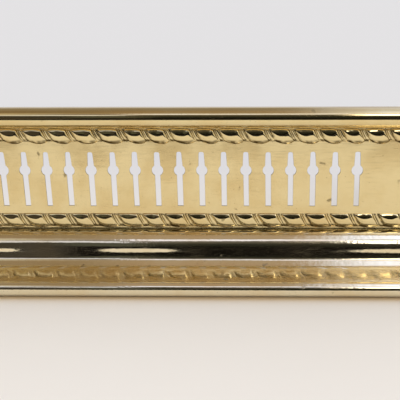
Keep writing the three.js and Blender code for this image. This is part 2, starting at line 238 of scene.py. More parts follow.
class Graph:
    """A short way to write a node tree."""

    def __init__(self, tree):
        self.tree = tree
        tree.nodes.clear()

    def node(self, kind, **settings):
        made = self.tree.nodes.new(kind)
        for key, value in settings.items():
            setattr(made, key, value)
        return made

    def put(self, socket, value):
        if isinstance(value, bpy.types.NodeSocket):
            self.tree.links.new(value, socket)
        else:
            socket.default_value = value

    def math(self, operation, *values):
        made = self.node("ShaderNodeMath", operation=operation)
        for socket, value in zip(made.inputs, values):
            self.put(socket, value)
        return made.outputs[0]

    def distance(self, a, b):
        """How far the point (a, b) is from the origin."""
        squares = self.math("ADD", self.math("POWER", a, 2.0), self.math("POWER", b, 2.0))
        return self.math("SQRT", squares)

    def mix(self, factor, a, b):
        made = self.node("ShaderNodeMix", data_type="RGBA")
        self.put(made.inputs["Factor"], factor)
        self.put(made.inputs[6], a)
        self.put(made.inputs[7], b)
        return made.outputs[2]

    def remap(self, value, low, high, to_low=0.0, to_high=1.0, smooth=True):
        """Carries a value over from one range to another and keeps it inside."""
        kind = "SMOOTHSTEP" if smooth else "LINEAR"
        made = self.node("ShaderNodeMapRange", interpolation_type=kind)
        for socket, number in zip(made.inputs, (value, low, high, to_low, to_high)):
            self.put(socket, number)
        return made.outputs[0]

    def within(self, value, low, high, soft):
        """1 between two limits and 0 outside them, with soft edges."""
        rising = self.remap(value, low - soft, low + soft)
        falling = self.remap(value, high - soft, high + soft, 1.0, 0.0)
        return self.math("MULTIPLY", rising, falling)

    def ramp(self, value, stops):
        made = self.node("ShaderNodeValToRGB")
        self.put(made.inputs[0], value)
        elements = made.color_ramp.elements
        for place, _ in stops[2:]:
            elements.new(place)
        for element, (place, colour) in zip(elements, sorted(stops)):
            element.position = place
            element.color = (*colour, 1)
        return made.outputs[0]

    def noise(self, place, scale, detail, roughness):
        made = self.node("ShaderNodeTexNoise")
        self.put(made.inputs["Vector"], place)
        made.inputs["Scale"].default_value = scale
        made.inputs["Detail"].default_value = detail
        made.inputs["Roughness"].default_value = roughness
        return made.outputs["Fac"]

    def stretch(self, place, scale):
        made = self.node("ShaderNodeMapping")
        self.put(made.inputs["Vector"], place)
        made.inputs["Scale"].default_value = scale
        return made.outputs["Vector"]

    def bump(self, height, strength, distance, normal=None):
        made = self.node("ShaderNodeBump")
        made.inputs["Strength"].default_value = strength
        made.inputs["Distance"].default_value = distance
        self.put(made.inputs["Height"], height)
        if normal is not None:
            self.put(made.inputs["Normal"], normal)
        return made.outputs["Normal"]


def new_material(name):
    """A new material, its graph, its shader node and the place of a point on its piece."""
    material = bpy.data.materials.new(name)
    material.use_nodes = True
    graph = Graph(material.node_tree)
    shader = graph.node("ShaderNodeBsdfPrincipled")
    output = graph.node("ShaderNodeOutputMaterial")
    graph.put(output.inputs["Surface"], shader.outputs[0])
    place = graph.node("ShaderNodeTexCoord").outputs["Object"]
    return material, graph, shader, place


# ---- Materials ------------------------------------------------------------------------------------

BRASS = (0.84, 0.69, 0.37, 1)
BRASS_WARM = (0.80, 0.62, 0.30, 1)
# A paler, lit copy of the brass colour: painted light that brightens the mouldings.
BRASS_LIT_COPY = (0.86, 0.76, 0.53, 1)
# The dark of tarnish. Both stains and the painted shade darken the brass towards it.
TARNISH_AND_SHADE = (0.10, 0.065, 0.02, 1)
IRON_DARK = (0.030, 0.027, 0.025, 1)
IRON_BROWN = (0.11, 0.055, 0.028, 1)
STEEL_PALE = (0.46, 0.44, 0.41, 1)
STEEL_DARK = (0.30, 0.27, 0.24, 1)

# How fine the patterns in the metals are: the larger the number, the finer the pattern.
CLOUDS = 28
WIPES = (60, 60, 900)
SPECKS = 900
SPOTS = 120
SWELLS = 45
RIPPLES = 220
IRON_PATCHES = 22
IRON_GRAIN = 700
STEEL_CLOUDS = 160
STEEL_GRAIN = 1500
# The part of a pattern's range over which it comes in.
CLOUD_TINT = (0.35, 0.7)
CLOUD_HAZE = (0.3, 0.75)
WIPE_MARKS = (0.45, 0.8)
SPECK_STAINS = (0.68, 0.76)
SPOT_STAINS = (0.74, 0.80)
RUST = (0.56, 0.78)
# How dark stains are beside the full tarnish colour, and how much stains and painted shade dull the brass.
STAIN_DEPTH = 0.5
STAIN_AND_SHADE_HAZE = 0.3
# The part of a pattern's range that roughness follows, and the roughness at both ends of it.
IRON_HAZE = (0.3, 0.8, 0.42, 0.78)
STEEL_HAZE = (0.3, 0.8, 0.26, 0.5)
# The depth of slow and of fine unevenness in a surface.
DEEP = 0.8 * MM
SHALLOW = 0.1 * MM


def brass(name, base, gloss, haze, waves, ripple):
    """Polished brass: cloudy hand marks, fine wipe lines along the piece, stains, and painted shade in the
    creases.

    Gloss is its lowest roughness, and haze is what the marks add to that. Waves and ripple are how strong
    the slow and the fine unevenness of its surface is.
    """
    material, graph, shader, place = new_material(name)
    clouds = graph.noise(place, CLOUDS, 4, 0.6)
    wipes = graph.noise(graph.stretch(place, WIPES), 1.0, 3, 0.6)
    specks = graph.noise(place, SPECKS, 2, 0.5)
    spots = graph.noise(place, SPOTS, 1, 0.4)
    # Each piece's painted_shade layer: painted shade in its creases, grooves and cut walls, and along the
    # rail's top.
    painted_shade = graph.node("ShaderNodeAttribute", attribute_name="painted_shade").outputs["Fac"]
    warm = tuple(a * b / c for a, b, c in zip(base, BRASS_WARM, BRASS))
    tint = graph.mix(graph.remap(clouds, *CLOUD_TINT), base, warm)
    stain = graph.math("ADD", graph.remap(specks, *SPECK_STAINS), graph.remap(spots, *SPOT_STAINS))
    # Painted shade and real stains together darken the brass towards the tarnish colour.
    stain_and_shade = graph.math("MAXIMUM", painted_shade, graph.math("MULTIPLY", stain, STAIN_DEPTH))
    graph.put(shader.inputs["Base Color"], graph.mix(stain_and_shade, tint, TARNISH_AND_SHADE))
    shader.inputs["Metallic"].default_value = 1.0
    marks = graph.math("MULTIPLY", graph.remap(wipes, *WIPE_MARKS), haze)
    rough = graph.remap(clouds, *CLOUD_HAZE, gloss, gloss + haze)
    rough = graph.math("ADD", rough, marks)
    rough = graph.math("ADD", rough, graph.math("MULTIPLY", stain_and_shade, STAIN_AND_SHADE_HAZE))
    graph.put(shader.inputs["Roughness"], rough)
    normal = graph.bump(graph.noise(place, SWELLS, 2, 0.4), waves, DEEP)
    normal = graph.bump(graph.noise(place, RIPPLES, 2, 0.5), ripple, SHALLOW, normal)
    normal = graph.bump(wipes, 0.05, SHALLOW, normal)
    graph.put(shader.inputs["Normal"], normal)
    return material


def black_iron():
    """Mild steel bar with a dull black finish, rubbed brown in places."""
    material, graph, shader, place = new_material("black_iron")
    patches = graph.noise(place, IRON_PATCHES, 5, 0.6)
    grain = graph.noise(place, IRON_GRAIN, 3, 0.6)
    tint = graph.mix(graph.remap(patches, *RUST), IRON_DARK, IRON_BROWN)
    graph.put(shader.inputs["Base Color"], tint)
    shader.inputs["Metallic"].default_value = 0.6
    graph.put(shader.inputs["Roughness"], graph.remap(patches, *IRON_HAZE))
    pits = graph.bump(grain, 0.25, 0.3 * MM)
    graph.put(shader.inputs["Normal"], graph.bump(patches, 0.3, DEEP, pits))
    return material


def steel():
    """Bare screw steel, turned and a little dull."""
    material, graph, shader, place = new_material("steel")
    clouds = graph.noise(place, STEEL_CLOUDS, 4, 0.6)
    grain = graph.noise(place, STEEL_GRAIN, 2, 0.5)
    graph.put(shader.inputs["Base Color"], graph.mix(clouds, STEEL_PALE, STEEL_DARK))
    shader.inputs["Metallic"].default_value = 1.0
    graph.put(shader.inputs["Roughness"], graph.remap(clouds, *STEEL_HAZE))
    graph.put(shader.inputs["Normal"], graph.bump(grain, 0.1, SHALLOW))
    return material


POLISHED = brass("polished_brass", BRASS, gloss=0.045, haze=0.05, waves=0.03, ripple=0.1)
# The mouldings' brass: a paler, lit copy of the same brass, painted light that brightens them.
MOULDING_LIT_BRASS = brass("moulding_brass_lit_copy", BRASS_LIT_COPY, gloss=0.06, haze=0.06, waves=0.03, ripple=0.6)
SATIN = brass("gallery_brass", BRASS, gloss=0.13, haze=0.10, waves=0.16, ripple=0.1)
MATERIALS = {
    "polished_brass": POLISHED,
    "gallery_brass": SATIN,
    "black_iron": black_iron(),
    "steel": steel(),
}


# ---- Piece helpers --------------------------------------------------------------------------------


def keep(name, mesh, slot, *nodes):
    """Makes a finished piece of a mesh: it rides on the frame and stands for its CAD nodes."""
    piece = bpy.data.objects.new(name, mesh)
    bpy.context.scene.collection.objects.link(piece)
    mesh.materials.clear()
    mesh.materials.append(MATERIALS[slot])
    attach(piece, "root")
    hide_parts(*nodes)
    return piece


def finish_mesh(name, shape, sharp=35):
    """Turns a bmesh into a smooth mesh whose faces point out and whose real edges stay sharp."""
    bmesh.ops.recalc_face_normals(shape, faces=shape.faces[:])
    mesh = bpy.data.meshes.new(name)
    shape.to_mesh(mesh)
    shape.free()
    mesh.shade_smooth()
    mesh.set_sharp_from_angle(angle=math.radians(sharp))
    return mesh


def made_mesh(holder):
    """The mesh that an object has once its curve or its modifiers are worked out."""
    bpy.context.view_layer.update()
    return bpy.data.meshes.new_from_object(holder.evaluated_get(bpy.context.evaluated_depsgraph_get()))


def arc(out, up, radius, start, end, steps):
    """Points round a centre, from one turn to another, in degrees."""
    turns = np.linspace(start, end, steps + 1)
    return [(out + radius * cos(turn), up + radius * sin(turn)) for turn in turns]


def strip(path, thickness):
    """A closed outline of sheet: the path, then its copy moved to its right, backwards."""
    line = np.array(path)
    along = np.gradient(line, axis=0)
    right = np.stack((along[:, 1], -along[:, 0]), axis=1)
    right /= np.linalg.norm(right, axis=1)[:, None]
    return [*path, *map(tuple, (line + right * thickness)[::-1])]


def join_rings(shape, rings):
    """Makes the faces between each closed ring of corners and the next."""
    for ring, ahead in zip(rings, rings[1:]):
        for k in range(len(ring)):
            after = (k + 1) % len(ring)
            shape.faces.new((ring[k], ring[after], ahead[after], ahead[k]))


def sweep(name, side, outline, wobble, shade_amounts):
    """Runs a closed outline along one side, mitred, with a little unevenness in its surface and painted
    shade in its colour.
    """
    low, high = span(side, 0)
    count = round((high - low) / SWEEP_STEP)
    ring = np.array(outline)
    following = np.roll(ring, -1, axis=0) - np.roll(ring, 1, axis=0)
    normal = np.stack((following[:, 1], -following[:, 0]), axis=1)
    normal /= np.linalg.norm(normal, axis=1)[:, None]
    shape = bmesh.new()
    layer = shape.verts.layers.float.new("painted_shade")
    rings = []
    for j in range(count + 1):
        share = j / count
        row = []
        for k, (out, up) in enumerate(outline):
            start, end = span(side, out)
            along = start + (end - start) * share
            swell = wobble(along, k)
            vert = shape.verts.new((along, out + normal[k][0] * swell, up + normal[k][1] * swell))
            # Painted shade for the material, one amount for each point of the outline.
            vert[layer] = shade_amounts[k]
            row.append(vert)
        rings.append(row)
    join_rings(shape, rings)
    shape.faces.new(rings[0])
    shape.faces.new(rings[-1])
    shape.transform(TO_WORLD[side])
    return finish_mesh(name, shape)


# ---- Top rail -------------------------------------------------------------------------------------

# Slow waves, and the streaks of the die: how deep, how long, and how wide in points of the outline.
RAIL_WAVES = (0.10 * MM, 0.11, 26)
MOULDING_WAVES = (0.05 * MM, 0.10, 14)
STREAKS = (0.004 * MM, 0.03, 2.3)
# Painted reflection along the rail's top, a dull brown darkening: the heights over its centre where it
# starts and is full, and how dark it is.
RAIL_TOP_SHADE_UP = (4.8 * MM, 6 * MM)
RAIL_TOP_SHADE = 0.28


def rail_line():
    """The outside of the rail, from under its front over the top to the foot of its back."""
    corner = (RAIL_BACK_R - RAIL_BACK, RAIL_UP + RAIL_R - RAIL_BACK_R)
    return [
        *arc(0, RAIL_UP, RAIL_R, -88, 90, RAIL_STEPS),
        *arc(*corner, RAIL_BACK_R, 90, 180, RAIL_STEPS // 4),
        (-RAIL_BACK, RAIL_UP - RAIL_SKIRT),
    ]


def uneven(seed, size, length, width):
    """A smooth random swelling: its size, and how long and how wide its waves are."""

    def swell(along, k):
        return size * noise.noise(Vector((along / length, k / width, seed)))

    return swell


def drawn(seed, size, length, width):
    """The long waves of a piece, with the fine streaks that drawing it through a die left in it."""
    waves = uneven(seed, size, length, width)
    streaks = uneven(seed + 20, *STREAKS)
    return lambda along, k: waves(along, k) + streaks(along, k)


def make_rails():
    """The rails, with a painted dull brown reflection darkening their top."""
    outline = strip(rail_line(), -SHEET)
    # Painted reflection: the top of the rail darkened to a dull brown.
    top_shade = [np.interp(up - RAIL_UP, RAIL_TOP_SHADE_UP, (0, RAIL_TOP_SHADE)) for _, up in outline]
    for seed, side in enumerate(SIDES):
        mesh = sweep(f"rail_{side}", side, outline, drawn(seed + 3.7, *RAIL_WAVES), top_shade)
        keep(f"rail_{side}", mesh, "polished_brass", f"top_rail_{side}")


# ---- Base moulding --------------------------------------------------------------------------------

# Slow leans in the steep wall: where they lie, their half length, and the degrees that they tip it by.
LEANS = {
    "front": ((0.240, 0.036, 6.0), (0.500, 0.085, 6.5), (0.125, 0.014, 5.5), (-0.22, 0.06, 6.5)),
    "left": ((-0.02, 0.05, 5.5),),
    "right": ((0.05, 0.05, 5.5),),
}
LEAN_WIDTH = 2.6 * MM
# Painted shade beside the groove over the bead: how dark it is, and how soon it fades above and below.
GROOVE_SHADE = 0.35
GROOVE_FADE = (4.0 * MM, 1.2 * MM)


def moved(point, length, turn):
    """A point moved by a length in the direction of a turn."""
    return point[0] + length * cos(turn), point[1] + length * sin(turn)


def moulding_line():
    """The front of the base moulding, from the ledge to the underside of the foot bead."""
    line = [(LEDGE_OUT, LEDGE_UP)]

    def bend(radius, start, end, steps):
        centre = moved(line[-1], -radius, start)
        line.extend(arc(*centre, radius, start, end, steps)[1:])

    bend(SHOULDER_R, LEDGE_TURN, WALL_TURN, 26)
    steps = 8
    for _ in range(steps):
        line.append(moved(line[-1], WALL / steps, WALL_TURN - 90))
    bend(-CORNER_R, WALL_TURN, CORNER_TURN, 10)
    bend(-HOLLOW_R, CORNER_TURN, HOLLOW_TURN, 14)
    bend(-SWEEP_R, HOLLOW_TURN, APRON_TURN, 16)
    bend(BEAD_R, APRON_TURN, BEAD_END, 36)
    return line


def moulding_swell(side, path, seed):
    """The unevenness of one moulding: slow waves, and a few leans where it is steepest."""
    waves = drawn(seed, *MOULDING_WAVES)
    line = np.array(path)
    lengths = np.concatenate(([0], np.cumsum(np.hypot(*np.diff(line, axis=0).T))))
    steepest = np.argmin(np.abs(line[:, 1] - STEEPEST_UP))
    from_steepest = lengths - lengths[steepest]

    def swell(along, k):
        on_front = k if k < len(path) else 2 * len(path) - 1 - k
        lean = 0.0
        for middle, half, degrees in LEANS[side]:
            lean += math.radians(degrees) * math.exp(-(((along - middle) / half) ** 4))
        across = from_steepest[on_front] / LEAN_WIDTH
        return waves(along, on_front) + lean * LEAN_WIDTH * across * math.exp(-across * across / 2)

    return swell


def groove_shade(outline):
    """Painted shade in the groove where the sweep meets the foot bead."""
    groove = np.argmin([abs(out - (BEAD_OUT - BEAD_R)) for out, _ in outline])
    distance = np.hypot(*(np.array(outline) - outline[groove]).T)
    above = np.array([out < outline[groove][0] for out, _ in outline])
    # Painted shade, darkest at the groove and fading away from it.
    return GROOVE_SHADE * np.exp(-distance / np.where(above, *GROOVE_FADE))


def make_mouldings():
    """The mouldings, each with a lip that hangs down from its ledge in front of the gallery."""
    ledge = LEDGE_UP + LIP_RISE
    for seed, side in enumerate(SIDES):
        path = [(FIT, ledge - LIP), (FIT, ledge), *moulding_line()]
        swell = moulding_swell(side, path, seed + 11.3)
        outline = strip(path, SHEET)
        mesh = sweep(f"moulding_{side}", side, outline, swell, groove_shade(outline))
        piece = keep(f"moulding_{side}", mesh, "polished_brass", f"base_moulding_{side}")
        # The mouldings take the paler, lit copy of the brass, painted light.
        piece.data.materials[0] = MOULDING_LIT_BRASS


# ---- Gallery sheet --------------------------------------------------------------------------------

# How dark the painted shade on the walls of the cuts is.
CUT_WALL_SHADE = 0.9


def slot_outline(middle, chance):
    """One piercing: a slot with a round hole through it, cut by hand, so no two are quite alike."""
    low = SLOT_HALF_LOW * chance.uniform(0.95, 1.05)
    tip = SLOT_HALF_TIP * chance.uniform(0.92, 1.05)
    radius = HOLE_R * chance.uniform(0.98, 1.03)
    foot = SLOT_FOOT + chance.uniform(-0.2, 0.2) * MM
    head = SLOT_HEAD + chance.uniform(-0.25, 0.25) * MM
    hole = chance.uniform(-0.15, 0.15) * MM
    lean = SLOT_LEAN + chance.uniform(-0.004, 0.004)
    low_meet = math.degrees(math.asin(low / radius))
    high_meet = math.degrees(math.asin(SLOT_HALF_HIGH / radius))
    shoulder = head - SLOT_TIP_R
    points = [
        (-low, foot),
        (low, foot),
        *arc(hole, HOLE_UP, radius, low_meet - 90, 90 - high_meet, 18),
        *arc(tip - SLOT_TIP_R, shoulder, SLOT_TIP_R, 0, 90, 5),
        *arc(SLOT_TIP_R - tip, shoulder, SLOT_TIP_R, 90, 180, 5),
        *arc(hole, HOLE_UP, radius, 90 + high_meet, 270 - low_meet, 18),
    ]
    return [(middle + x + lean * (z - HOLE_UP), z) for x, z in points]


def window(low, high, middle):
    """The opening in the flat sheet where an embossed band takes over."""
    foot = middle - BAND_HALF * BAND_WINDOW
    head = middle + BAND_HALF * BAND_WINDOW
    return [(low, foot), (high, foot), (high, head), (low, head)]


def flat_plate(outlines, thickness, rounding):
    """A flat plate with holes and softened edges, as a mesh in (x, y) with its thickness along z."""
    curve = bpy.data.curves.new("plate", "CURVE")
    curve.dimensions = "2D"
    curve.fill_mode = "BOTH"
    curve.extrude = thickness / 2 - rounding
    curve.bevel_depth = rounding
    curve.bevel_resolution = 2
    curve.offset = -rounding
    for outline in outlines:
        spline = curve.splines.new("POLY")
        spline.points.add(len(outline) - 1)
        for point, (x, y) in zip(spline.points, outline):
            point.co = (x, y, 0, 1)
        spline.use_cyclic_u = True
    holder = bpy.data.objects.new("plate", curve)
    bpy.context.scene.collection.objects.link(holder)
    flat = made_mesh(holder)
    bpy.data.objects.remove(holder)
    bpy.data.curves.remove(curve)
    shape = bmesh.new()
    shape.from_mesh(flat)
    bpy.data.meshes.remove(flat)
    bmesh.ops.remove_doubles(shape, verts=shape.verts[:], dist=0.005 * MM)
    return shape


def gallery_sheet(side, chance):
    """The flat sheet with its piercings. The walls of the piercings are painted dark, a painted shade in
    the cuts.
    """
    low, high = span(side, 0)
    count = FRONT_SLOTS if side == "front" else RETURN_SLOTS
    middle = 0 if side == "front" else (REAR - FACE_Y) / 2
    outlines = [[(low, GALLERY_FOOT), (high, GALLERY_FOOT), (high, GALLERY_HEAD), (low, GALLERY_HEAD)]]
    for i in range(count):
        outlines.append(slot_outline(middle + (i - (count - 1) / 2) * PITCH, chance))
    outlines.append(window(low + WINDOW_MARGIN, high - WINDOW_MARGIN, LOWER_BAND_UP))
    outlines.append(window(low + WINDOW_MARGIN, high - WINDOW_MARGIN, UPPER_BAND_UP))
    shape = flat_plate(outlines, SHEET, EDGE_ROUND)
    layer = shape.verts.layers.float.new("painted_shade")
    for vert in shape.verts:
        # Painted shade on the walls of the piercings and other cuts.
        vert[layer] = CUT_WALL_SHADE if abs(vert.co.z) < SHEET / 2 - EDGE_ROUND / 4 else 0.0
        out = vert.co.z - SHEET / 2
        start, end = span(side, out)
        vert.co = (min(max(vert.co.x, start), end), out, vert.co.y)
    shape.transform(TO_WORLD[side])
    return finish_mesh(f"gallery_{side}", shape, sharp=8)


# ---- Rope bands -----------------------------------------------------------------------------------

# The places in t of a line's points, closer together towards its edges: over the face, then back behind it.
FACE_LINE = -np.cos(np.linspace(0, np.pi, ROPE_ROWS))
BACK_LINE = FACE_LINE[2:-2:3][::-1]


def rope_segments(low, high, chance):
    """Lobes and strands one after another: where each starts, its size, and how dark the painted shade in
    its creases is.
    """
    segments = []
    at = low
    while at < high:
        for width in (LOBE, *STRANDS):
            lobe = width == LOBE
            wide = width * chance.uniform(*WIDTHS)
            rise = chance.uniform(*(LOBE_RISES if lobe else STRAND_RISES))
            # How dark the painted shade in the creases of this lobe or strand is.
            shade_depth = chance.random() ** 0.7
            segments.append({"lobe": lobe, "at": at, "wide": wide, "rise": rise, "shade_depth": shade_depth})
            at += wide
    return segments


def envelope(t, crest):
    """The rope's height over the sheet, from its lower edge (-1) over the crest to its upper edge (1)."""
    above = np.clip((t - crest) / (1 - crest), 0, 1)
    below = np.clip((crest - t) / (1 + crest), 0, 1)
    return (1 - LOBE_FALL * above**2) * np.sqrt(1 - above**HEAD_POWER) * np.sqrt(1 - below**2)


def swelling(segment, v):
    """How far a lobe or strand stands up at v, which runs from -1 to 1 across it."""
    power = STRAND_POWER
    if segment["lobe"]:
        power = LOBE_POWERS[1] if v > 0 else LOBE_POWERS[0]
    return math.sqrt(max(0.0, 1 - abs(v) ** power))


def rope_heights(segment, v, rows):
    """The heights of one line over the rope: deep grooves at the head that run out at the foot."""
    full = swelling(segment, v)
    middle = LOBE_CREST + (LOBE_CURL * abs(v) ** CURL_POWER if segment["lobe"] else LOBE_CURL)
    foot = (1 - rows) / 2
    valley = LOBE_RISE * (VALLEY_HEAD + (VALLEY_FOOT - VALLEY_HEAD) * foot)
    crest = LOBE_RISE - valley if segment["lobe"] else STRAND_RISE * (1 - foot)
    return (valley + crest * full * segment["rise"]) * envelope(rows, middle)


def rope_reach(segment, v, t, foot_reach):
    """How far a point lies over or under the band's middle, as a share of the band's half height."""
    scallop = (1 - foot_reach if segment["lobe"] else STRAND_SCALLOP) * (1 - v * v)
    return t * (HEAD_REACH + scallop / HEAD_SCALLOP if t > 0 else foot_reach + scallop)


def crease_shade(segment, v):
    """How dark the painted shade of a lobe or strand is at v: it darkens towards the creases at its sides.
    """
    edge = STRAND_EDGE
    if segment["lobe"]:
        edge = LOBE_EDGES[0] if v < 0 else LOBE_EDGES[1]
    return max(0.0, (abs(v) - edge) / (1 - edge)) ** 0.4 * segment["shade_depth"]


def speckle(along, t, size, seed):
    """A smooth random pattern on the rope, from -1 to 1."""
    length, rate = size
    return noise.noise(Vector((along / length, t * rate, seed)))


def clamp(value):
    return min(1.0, max(0.0, value))


def rope_shade(along, t, v, shade_depth, variant):
    """The painted shade at a point of the rope: in its creases and along its foot, broken up in patches."""
    patchy = clamp(0.75 + 1.6 * speckle(along, t, SHADE_BREAKS, variant + 9))
    foot = clamp((-t - FOOT_SHADE) / FOOT_SOFT) * (0.9 - 0.35 * v)
    return min(1.0, 1.3 * shade_depth * patchy * (0.7 + 0.3 * t) + foot * patchy)


def rope_dent(along, t, height, variant):
    """How far a dent moves a point of the rope. Dents fade out where the rope is low."""
    dent = DENT * speckle(along, t, DENTS, variant)
    return dent * min(1.0, 4 * height / LOBE_RISE)


def rope_ring(shape, segment, v, middle, foot_reach, variant):
    """One closed line round the rope: up over its face, then down behind the sheet."""
    layer = shape.verts.layers.float["painted_shade"]
    along = segment["at"] + segment["wide"] * (v + 1) / 2
    shade_depth = crease_shade(segment, v)
    ring = []
    for t, height in zip(FACE_LINE, rope_heights(segment, v, FACE_LINE)):
        reach = rope_reach(segment, v, t, foot_reach)
        out = height - ROPE_SINK + rope_dent(along, t, height, variant)
        vert = shape.verts.new((along - SLANT * reach, out, middle + reach * BAND_HALF))
        # Painted shade in the rope's creases and along its foot.
        vert[layer] = rope_shade(along, t, v, shade_depth, variant)
        ring.append(vert)
    for t, height in zip(BACK_LINE, rope_heights(segment, v, BACK_LINE)):
        reach = rope_reach(segment, v, t, foot_reach)
        out = ROPE_HOLLOW * height - SHEET
        ring.append(shape.verts.new((along - SLANT * reach, out, middle + reach * BAND_HALF)))
    return ring


def rope_band(side, middle, start, foot_reach, seed):
    """One embossed band: closed lines round every lobe and strand, joined and cut to the run."""
    chance = random.Random(seed)
    variant = chance.uniform(0, 50)
    low, high = span(side, 0)
    shape = bmesh.new()
    shape.verts.layers.float.new("painted_shade")
    rings = []
    for segment in rope_segments(low - start, high + ROPE_SPARE, chance):
        samples = LOBE_SAMPLES if segment["lobe"] else STRAND_SAMPLES
        for v in np.sin(np.linspace(-np.pi / 2, np.pi / 2, samples + 1))[:-1]:
            rings.append(rope_ring(shape, segment, v, middle, foot_reach, variant))
    join_rings(shape, rings)
    cut_to_run(shape, side)
    shape.transform(TO_WORLD[side])
    return finish_mesh("rope", shape, sharp=50)


def cut_to_run(shape, side):
    """Cuts a long piece off at the mitres, or at the rear end of a return, and closes the cuts."""
    if side == "front":
        cuts = [((FACE_X - MITRE, 0, 0), (1, -1, 0)), ((MITRE - FACE_X, 0, 0), (-1, -1, 0))]
    else:
        cuts = [((MITRE - FACE_Y, 0, 0), (-1, -1, 0)), ((RUN_END, 0, 0), (1, 0, 0))]
    for point, normal in cuts:
        geometry = [*shape.verts, *shape.edges, *shape.faces]
        made = bmesh.ops.bisect_plane(
            shape, geom=geometry, dist=1e-6, plane_co=point, plane_no=normal, clear_outer=True
        )
        edges = [item for item in made["geom_cut"] if isinstance(item, bmesh.types.BMEdge)]
        bmesh.ops.edgeloop_fill(shape, edges=edges)


def make_galleries():
    """Each gallery: the pierced sheet and the two rope bands, which together are one CAD node."""
    for seed, side in enumerate(SIDES):
        node = f"gallery_{side}"
        keep(node + "_sheet", gallery_sheet(side, random.Random(seed + 50)), "gallery_brass", node)
        for level, middle, start, foot_reach in ROPES:
            mesh = rope_band(side, middle, start, foot_reach, f"{side}{level}")
            keep(f"rope_{level}_{side}", mesh, "polished_brass", node)


# ---- End plates -----------------------------------------------------------------------------------


def make_end_plates():
    """Plates that close the rear ends of the returns, cut to the outline of the brass."""
    front = [point for point in rail_line() if point[0] >= LEDGE_OUT or point[1] > RAIL_UP]
    foot = [point for point in moulding_line() if point[1] > FLOOR_GAP + 0.02 * BEAD_R][::-1]
    outline = [(-RAIL_BACK, FLOOR_GAP), *foot, *front]
    thickness = REAR - RUN_END - FIT
    for side in ("left", "right"):
        shape = flat_plate([outline], thickness, PLATE_ROUND)
        for vert in shape.verts:
            out, up, depth = vert.co
            vert.co = (REAR - thickness / 2 + depth, out, up)
        shape.transform(TO_WORLD[side])
        mesh = finish_mesh(f"end_plate_{side}", shape, sharp=30)
        keep(f"rear_plate_{side}", mesh, "polished_brass", f"end_plate_{side}")


# ---- Fasteners ------------------------------------------------------------------------------------


# How far inside the gallery's face a return's fasteners can be, and how far from the front they start.
RETURN_DEPTH = 30 * MM
CORNER_DEPTH = 12 * MM
TURNED_STEPS = 40
HEAD_STEPS = 9
# The share of a screw head's height that its rim takes, under the dome.
SCREW_RIM = 0.2


def turned(profile):
    """A solid turned about the z axis, from (radius, z) points that start and end on the axis."""
    shape = bmesh.new()
    rings = []
    turns = [360 * i / TURNED_STEPS for i in range(TURNED_STEPS)]
    for radius, z in profile:
        if radius == 0:
            rings.append([shape.verts.new((0, 0, z))])
        else:
            rings.append([shape.verts.new((radius * cos(a), radius * sin(a), z)) for a in turns])
    for ring, ahead in zip(rings, rings[1:]):
        for i in range(TURNED_STEPS):
            after = (i + 1) % TURNED_STEPS
            corners = [ring[i % len(ring)], ring[after % len(ring)]]
            corners += [ahead[after % len(ahead)], ahead[i % len(ahead)]]
            shape.faces.new(list(dict.fromkeys(corners)))
    return shape


def nodes_with(part):
    """The frame's nodes that have a part's name in theirs, in order."""
    return [name for name in sorted(frame["nodes"]) if part in name]


def measure(node):
    """The middle and the size of a node's box."""
    low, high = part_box(node)
    return (Vector(low) + Vector(high)) / 2, Vector(high) - Vector(low)


def inward(node):
    """The way from the brass towards the hearth, for a node's run."""
    middle, _ = measure(node)
    if abs(middle.x) > FACE_X - RETURN_DEPTH and middle.y > CORNER_DEPTH - FACE_Y:
        return Vector((-math.copysign(1, middle.x), 0, 0))
    return Vector((0, 1, 0))


def place(shape, node, start, roll=0.0):
    """Turns a piece from its z axis onto the inward axis of its node and moves it to where it starts."""
    way = inward(node)
    turn = way.to_track_quat("Z", "X").to_matrix().to_4x4()
    shape.transform(Matrix.Translation(start) @ turn @ Matrix.Rotation(roll, 4, "Z"))


def screw_shape(length):
    """A round-head screw with a rolled thread, its tip at z = 0 and its driver slot not yet cut."""
    shank = length - SCREW_HEAD
    pitch = shank / (THREAD_TURNS + 1)
    profile = [(0, 0), (SCREW_TIP_R, 0)]
    for i in range(THREAD_TURNS):
        profile += [(SCREW_R - THREAD, pitch * (i + 0.5)), (SCREW_R, pitch * (i + 1))]
    profile += [(SCREW_R, shank)]
    profile += [(SCREW_HEAD_R * 0.97, shank), (SCREW_HEAD_R, shank + 0.12 * SCREW_HEAD)]
    for i in range(1, HEAD_STEPS):
        turn = 90 * i / HEAD_STEPS
        dome = SCREW_RIM + (1 - SCREW_RIM) * sin(turn)
        profile.append((SCREW_HEAD_R * cos(turn), shank + SCREW_HEAD * dome))
    profile.append((0, length))
    return turned(profile)


def slotted(shape, length):
    """Cuts the driver slot across a screw's head."""
    body = bpy.data.meshes.new("screw")
    shape.to_mesh(body)
    shape.free()
    holder = bpy.data.objects.new("screw", body)
    block = bmesh.new()
    bmesh.ops.create_cube(block, size=1)
    bmesh.ops.scale(block, vec=(20 * MM, DRIVER_SLOT, 2 * SCREW_HEAD), verts=block.verts[:])
    up = length - DRIVER_DEPTH + SCREW_HEAD
    bmesh.ops.translate(block, vec=(0, 0, up), verts=block.verts[:])
    cutter_mesh = bpy.data.meshes.new("cutter")
    block.to_mesh(cutter_mesh)
    block.free()
    cutter = bpy.data.objects.new("cutter", cutter_mesh)
    for item in (holder, cutter):
        bpy.context.scene.collection.objects.link(item)
    cut = holder.modifiers.new("slot", "BOOLEAN")
    cut.object = cutter
    cut.solver = "EXACT"
    made = made_mesh(holder)
    result = bmesh.new()
    result.from_mesh(made)
    for item in (holder, cutter):
        bpy.data.objects.remove(item)
    for mesh in (body, cutter_mesh, made):
        bpy.data.meshes.remove(mesh)
    return result


